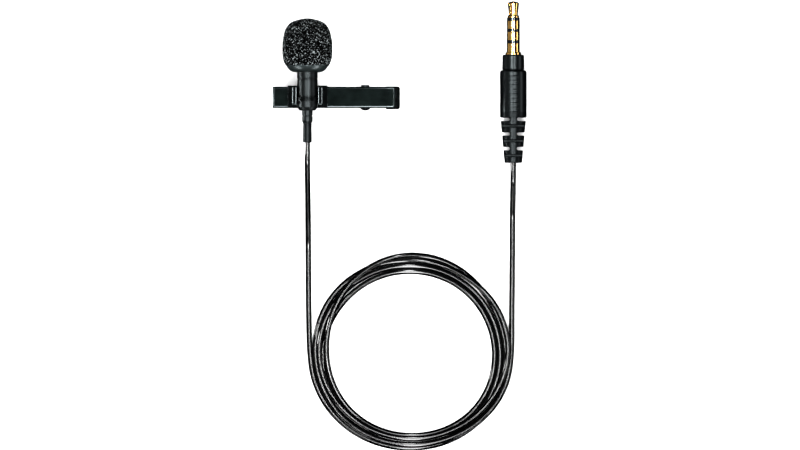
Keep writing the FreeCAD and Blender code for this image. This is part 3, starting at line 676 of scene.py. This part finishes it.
# ------------------------------------------------------------ plug mould ----
def build_mould():
    prof = [(0, -17.89), (2.28, -17.89), (2.40, -17.77), (2.68, -14.49), (2.81, -13.45), (3.04, -10.44),
            (3.11, -9.52), (3.44, -6.47), (3.52, -5.48), (3.53, -5.48), (3.63, -5.38), (3.63, 6.95),
            (3.48, 7.30), (3.13, 7.45), (2.86, 7.45), (2.86, 7.70), (2.96, 7.76), (2.96, 11.35),
            (2.87, 11.58), (2.64, 11.67), (0, 11.67)]
    o = lathe("plug_body", prof, None, None, None, PX, PZ, seg=160, rad=0.05)
    cuts = []
    for y0, y1 in ((-6.47, -5.48), (-10.44, -9.52), (-14.49, -13.50)):
        h, ym = (y1 - y0) / 2, (y0 + y1) / 2
        for s in (-1, 1):
            # the slot's inner end is round, so the web flares into the segments
            xe = 0.89 + h
            end = [(PX + s * (xe - h * math.cos(t)), ym + h * math.sin(t) * s)
                   for t in np.linspace(-math.pi / 2, math.pi / 2, 15)]
            out = end + [(PX + s * 8, ym + h * s), (PX + s * 8, ym - h * s)]
            cuts.append(prism(out, PZ - 8, PZ + 8, "xy"))
    for ym in (-7.86, -11.94, -15.98):
        for s in (-1, 1):
            z0, z1 = (PZ + 1.25, PZ + 8) if s > 0 else (PZ - 8, PZ - 1.25)
            cuts.append(box_mesh(PX - 8, PX + 8, ym - 0.36, ym + 0.36, z0, z1))
    bore = lathe("bore", [(0, -18.5), (0.74, -18.5), (0.74, -1.2), (1.25, -1.2), (1.25, 2.0), (1.80, 2.0),
                          (1.80, 12.2), (0, 12.2)], None, None, None, PX, PZ, seg=64, rad=0.001)
    o = boolean(o, cuts + [bore], "DIFFERENCE")
    # a generic ladder of raised grip bars down the front of the body
    bars = []
    for n in range(9):
        yb = 5.55 - 1.22 * n
        w = 1.25
        v, f = [], []
        nu, nv = 18, 6
        for i in range(nu + 1):
            for j in range(nv + 1):
                a = (i / nu - 0.5) * 2 * w / 3.63
                yy = yb + (j / nv - 0.5) * 0.52
                for rr in (3.40, 3.72):
                    v.append(row(PX + rr * math.sin(a), yy, PZ + rr * math.cos(a)))
        idx = lambda i, j, k: (i * (nv + 1) + j) * 2 + k
        for i in range(nu):
            for j in range(nv):
                f.append((idx(i, j, 1), idx(i + 1, j, 1), idx(i + 1, j + 1, 1), idx(i, j + 1, 1)))
                f.append((idx(i, j, 0), idx(i, j + 1, 0), idx(i + 1, j + 1, 0), idx(i + 1, j, 0)))
        for i in range(nu):
            f.append((idx(i, 0, 0), idx(i + 1, 0, 0), idx(i + 1, 0, 1), idx(i, 0, 1)))
            f.append((idx(i, nv, 0), idx(i, nv, 1), idx(i + 1, nv, 1), idx(i + 1, nv, 0)))
        for j in range(nv):
            f.append((idx(0, j, 0), idx(0, j, 1), idx(0, j + 1, 1), idx(0, j + 1, 0)))
            f.append((idx(nu, j, 0), idx(nu, j + 1, 0), idx(nu, j + 1, 1), idx(nu, j, 1)))
        b = mesh_obj("bar", v, f)
        bm = bmesh.new()
        bm.from_mesh(b.data)
        bmesh.ops.recalc_face_normals(bm, faces=bm.faces)
        bm.to_mesh(b.data)
        bm.free()
        bars.append(b)
    o = boolean(o, bars, "UNION")
    o = remesh(o, 0.075, smooth=3, factor=0.5)
    o.name = "plug_body"
    finish_piece(o, "plug_rubber", "mic", ["plug_overmould"], angle=60)
    # the relief below the body is cut from the same rubber but left duller
    o.data.materials.append(M["relief_rubber"])
    edge = row(0, -4.05, 0).y
    for p in o.data.polygons:
        if p.center.y < edge:
            p.material_index = 1
    return o


build_mould()


# ----------------------------------------------------------------- clip ----
def flat_normals(me, angle=40.0):
    """Corner normals weighted by the square of each face's area, so that large
    flat faces stay flat up to their edges and the fillets carry the turn."""
    me.polygons.foreach_set("use_smooth", [True] * len(me.polygons))
    limit = math.cos(math.radians(angle))
    around = [[] for _ in me.vertices]
    for p in me.polygons:
        for v in p.vertices:
            around[v].append(p.index)
    nrm = [p.normal.copy() for p in me.polygons]
    area2 = [(p.area / MM ** 2) ** 2 + 1e-12 for p in me.polygons]
    out = [(0.0, 0.0, 1.0)] * len(me.loops)
    for p in me.polygons:
        for li in p.loop_indices:
            v = me.loops[li].vertex_index
            acc = Vector((0, 0, 0))
            for f in around[v]:
                if nrm[f].dot(nrm[p.index]) > limit:
                    acc += nrm[f] * area2[f]
            out[li] = tuple(acc.normalized() if acc.length > 0 else nrm[p.index])
    me.normals_split_custom_set(out)


def plate_ends(bm):
    """Rolls the jaw end's upper edge and coins a shallow land along the thumb end."""
    top = max(v.co.z for v in bm.verts)
    left, right = min(v.co.x for v in bm.verts), max(v.co.x for v in bm.verts)
    jaw = [e for e in bm.edges if all(abs(v.co.x - left) < 0.03 * MM and abs(v.co.z - top) < 0.03 * MM
                                      for v in e.verts)]
    if jaw:
        bmesh.ops.bevel(bm, geom=jaw, offset=0.42 * MM, segments=5, affect="EDGES", profile=0.5)
    bmesh.ops.bisect_plane(bm, geom=bm.verts[:] + bm.edges[:] + bm.faces[:], dist=1e-8,
                           plane_co=(right - 0.40 * MM, 0, 0), plane_no=(1, 0, 0))
    for v in bm.verts:
        if v.co.z > top - 0.03 * MM and v.co.x > right - 0.25 * MM:
            v.co.z -= 0.052 * MM


def crisp(node, name, slot, body, width=0.05, segments=2, shape=None):
    """The CAD piece with its flat faces merged and its sharp edges rounded."""
    src = nodes[node]
    me = src.data.copy()
    o = bpy.data.objects.new(name, me)
    bm = bmesh.new()
    bm.from_mesh(me)
    bmesh.ops.remove_doubles(bm, verts=bm.verts, dist=1e-7)
    bmesh.ops.dissolve_limit(bm, angle_limit=math.radians(0.6), verts=bm.verts, edges=bm.edges)
    if shape:
        shape(bm)
    bm.to_mesh(me)
    bm.free()
    scene.collection.objects.link(o)
    m = o.modifiers.new("bevel", "BEVEL")
    m.width = width * MM
    m.segments = segments
    m.limit_method = "ANGLE"
    m.angle_limit = math.radians(35)
    m.use_clamp_overlap = True
    bpy.context.view_layer.update()
    applied(o)
    me = o.data
    me.materials.clear()
    me.materials.append(M[slot])
    flat_normals(me)
    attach(o, body)
    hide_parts(node)
    return o


crisp("clip_front_plate", "clip_plate", "clip_metal", "clip", 0.04, shape=plate_ends)
lever = crisp("clip_back_lever", "clip_lever", "clip_metal", "lever", 0.05)
# the lever takes the darker copy of the plate's finish, painted shade
lever.data.materials[0] = M["lever_metal"]


def build_holder():
    zp = ZA - 3.85
    a0 = 28
    inner = arc(0, ZA, 3.10, 180 - a0, 360 + a0, 72)
    ca, sa = math.cos(math.radians(a0)), math.sin(math.radians(a0))
    right = [(2.80, ZA + 1.66), (2.84, ZA + 1.78), (2.97, ZA + 1.868), (3.24, ZA + 1.897),
             (3.84, ZA + 1.897), (4.10, ZA + 1.868), (4.18, ZA + 1.78), (4.19, ZA + 1.50)]
    right += arc(0, ZA, 3.95, 14, 0, 8)
    right += [(3.95, zp + 0.05)]
    left = [(-x, z) for x, z in right[::-1]]
    right = [(x, ZA + 1.8725) if x == 2.97 else (x, ZA + 1.865) if x == 4.10 else (x, z) for x, z in right]
    left = [(x, ZA + 1.8615) if x == -2.97 else (x, ZA + 1.8730) if x == -4.10 else (x, z) for x, z in left]
    outline = inner + right + left
    arm = prism(outline, -1.90, 2.60, "xz", "holder")
    base = box_mesh(-5.45, 5.45, -2.89, 3.18, zp, zp + 0.80)
    hollow = prism(arc(0, ZA, 3.10, 0, 360, 96)[:-1], -6, 6, "xz")
    arm = boolean(arm, [base], "UNION")
    cb = prism([(1.25 * math.cos(t), 1.25 * math.sin(t)) for t in np.linspace(0, 2 * math.pi, 49)[:-1]],
               zp + 0.35, zp + 3, "xy")
    hole = prism([(0.70 * math.cos(t), 0.70 * math.sin(t)) for t in np.linspace(0, 2 * math.pi, 41)[:-1]],
                 zp - 1, zp + 3, "xy")
    arm = boolean(arm, [hollow, cb, hole], "DIFFERENCE")
    o = remesh(arm, 0.050, smooth=2, factor=0.5)
    o.name = "holder_cradle"
    return finish_piece(o, "holder_plastic", "clip", ["mic_holder"], angle=60)


build_holder()
PVX, PVZ = 15.73, ZA - 3.85 - 2.40
lathe("hinge_pin", [(0, -3.56), (0.45, -3.52), (0.90, -3.36), (1.20, -3.14), (1.33, -2.90), (0.60, -2.90),
                    (0.60, 2.90), (1.12, 2.90), (1.12, 3.36), (1.05, 3.42), (0, 3.42)],
      "pin_metal", "clip", ["pivot_pin"], PVX, PVZ, seg=72, rad=0.05)


# --------------------------------------------------------------- spring ----
def wire(name, points, body, r=0.19):
    c = bpy.data.curves.new(name, "CURVE")
    c.dimensions = "3D"
    s = c.splines.new("POLY")
    s.points.add(len(points) - 1)
    for p, co in zip(s.points, points):
        v = row(*co)
        p.co = (v.x, v.y, v.z, 1)
    c.bevel_depth = r * MM
    c.bevel_resolution = 5
    c.use_fill_caps = True
    tmp = bpy.data.objects.new(name + "_line", c)
    scene.collection.objects.link(tmp)
    bpy.context.view_layer.update()
    me = bpy.data.meshes.new_from_object(tmp.evaluated_get(bpy.context.evaluated_depsgraph_get()))
    bpy.data.objects.remove(tmp)
    o = bpy.data.objects.new(name, me)
    return finish_piece(o, "spring_wire", body, ["torsion_spring"], angle=60)


UP, DOWN, CR, PITCH = 8.0, 17.0, 0.98, 0.56
turns = 3.5 - (UP + DOWN) / 360.0
coil = []
steps = 110
for i in range(steps + 1):
    f = i / steps
    ang = math.radians(90 + UP + 360 * turns * f)
    coil.append((PVX + CR * math.cos(ang), -PITCH * turns / 2 + PITCH * turns * f, PVZ + CR * math.sin(ang)))
ty = PITCH / (2 * math.pi * CR)
up_leg = [(coil[0][0] + 5.38 * t * math.cos(math.radians(UP)), coil[0][1] - 5.38 * t * ty,
           coil[0][2] + 5.38 * t * math.sin(math.radians(UP))) for t in (1.0, 0.66, 0.33)]
dn_leg = [(coil[-1][0] + 5.38 * t * math.cos(math.radians(DOWN)), coil[-1][1] + 5.38 * t * ty,
           coil[-1][2] - 5.38 * t * math.sin(math.radians(DOWN))) for t in (0.0, 0.33, 0.66, 1.0)]
wire("spring_coil", up_leg + coil, "clip")
wire("spring_leg", dn_leg, "lever")

# ------------------------------------------------- carried-over CAD nodes ----
slot_of = {s["node"]: s["material_slot"] for s in frame["record"]["subparts"]}
for n, o in nodes.items():
    if o.hide_render:
        continue
    o.data.materials.clear()
    o.data.materials.append(M[slot_of[n]])
    o.data.polygons.foreach_set("use_smooth", [True] * len(o.data.polygons))
    o.data.set_sharp_from_angle(angle=math.radians(30))


# --------------------------------------------------------- floor and light ----
def floor_mat():
    m, nt, b = new_mat("floor_white")
    v = coords(nt)
    n = noise_tex(nt, v, 40, 3)
    nt.links.new(ramp(nt, n, [(0.3, (0.86, 0.86, 0.86)), (0.7, (0.885, 0.885, 0.885))]), b.inputs["Base Color"])
    b.inputs["Roughness"].default_value = 0.9
    b.inputs["Specular IOR Level"].default_value = 0.1
    return m


fl = bpy.data.meshes.new("floor")
c = row(25.26, -34.93, 0)
s = 3.0
fl.from_pydata([(c.x - s, c.y - s, 0), (c.x + s, c.y - s, 0), (c.x + s, c.y + s, 0), (c.x - s, c.y + s, 0)],
               [], [(0, 1, 2, 3)])
floor = bpy.data.objects.new("floor", fl)
fl.materials.append(floor_mat())
scene.collection.objects.link(floor)
floor.location.z = -0.0002
floor.visible_glossy = False


def area(name, loc, target, size, size_y, power, color=(1, 1, 1)):
    d = bpy.data.lights.new(name, "AREA")
    d.shape = "RECTANGLE"
    d.size = size
    d.size_y = size_y
    d.energy = power
    d.color = color
    o = bpy.data.objects.new(name, d)
    scene.collection.objects.link(o)
    o.location = loc
    o.rotation_euler = (Vector(target) - Vector(loc)).to_track_quat("-Z", "Y").to_euler()
    o.visible_camera = False
    return o


# Four strip softboxes make a square frame round the camera: flat faces that look
# straight up reflect the dark inside of the frame, and every round piece has a
# gleam along its crown whichever way it runs.
F, WD, LN = 0.27, 0.07, 0.47
for nm, dx, dy, sx, sy, pw in (("east", F, 0, WD, LN, 3.6), ("west", -F, 0, WD, LN, 3.4),
                               ("north", 0, F, LN, WD, 0.4), ("south", 0, -F, LN, WD, 2.2)):
    o = area("key_" + nm, (c.x + dx, c.y + dy, 1.0), (c.x, c.y, 0), sx, sy, pw)
    o.rotation_euler = (0, 0, 0)
area("south_mid", (c.x, c.y - 0.62, 0.75), (c.x, c.y, 0.005), 0.12, 0.62, 2.3)
# narrow strips hang low over the middle, so the gleam on each side leans inwards;
# they leave a gap over the clip, whose flat plate would mirror them
for nm, y, ln, pw in (("north", 36.0, 0.040, 0.032), ("south", -23.0, 0.018, 0.009), ("coil", -80.0, 0.070, 0.011)):
    s0 = row(28.0, y, 0)
    o = area("strip_" + nm, (s0.x, s0.y, 0.100), (s0.x, s0.y, 0), 0.010, ln, pw)
    o.rotation_euler = (0, 0, 0)
m0 = row(0, 2.0, 9.45)
area("left_low", (m0.x - 0.26, m0.y - 0.014, 0.022), m0, 0.04, 0.050, 0.24)
g0 = row(PX, 15.0, PZ)
area("contact_low", (g0.x - 0.012, g0.y, 0.0042), g0, 0.016, 0.008, 0.00011)
for nm, sx in (("south_west", -1), ("south_east", 1)):
    area(nm + "_low", (c.x - 0.028 + sx * 0.50, c.y - 0.72, 0.045), (c.x, c.y, 0.005), 0.40, 0.10, 1.2)
area("left_fill", (c.x - 0.75, c.y, 0.60), (c.x, c.y, 0), 0.9, 0.55, 0.45)
area("right_fill", (c.x + 0.85, c.y, 0.25), (c.x, c.y, 0), 0.8, 0.22, 1.3)
# a wide overhead sheet evens out the floor and softens the shadows
o = area("overhead", (c.x, c.y, 1.45), (c.x, c.y, 0), 2.4, 2.4, 28)
o.visible_glossy = False
w = bpy.data.worlds.new("world")
scene.world = w
w.use_nodes = True
w.node_tree.nodes["Background"].inputs["Color"].default_value = (0.75, 0.85, 1.0, 1)
w.node_tree.nodes["Background"].inputs["Strength"].default_value = 0.02
scene.view_settings.view_transform = "Standard"
scene.view_settings.look = "High Contrast"
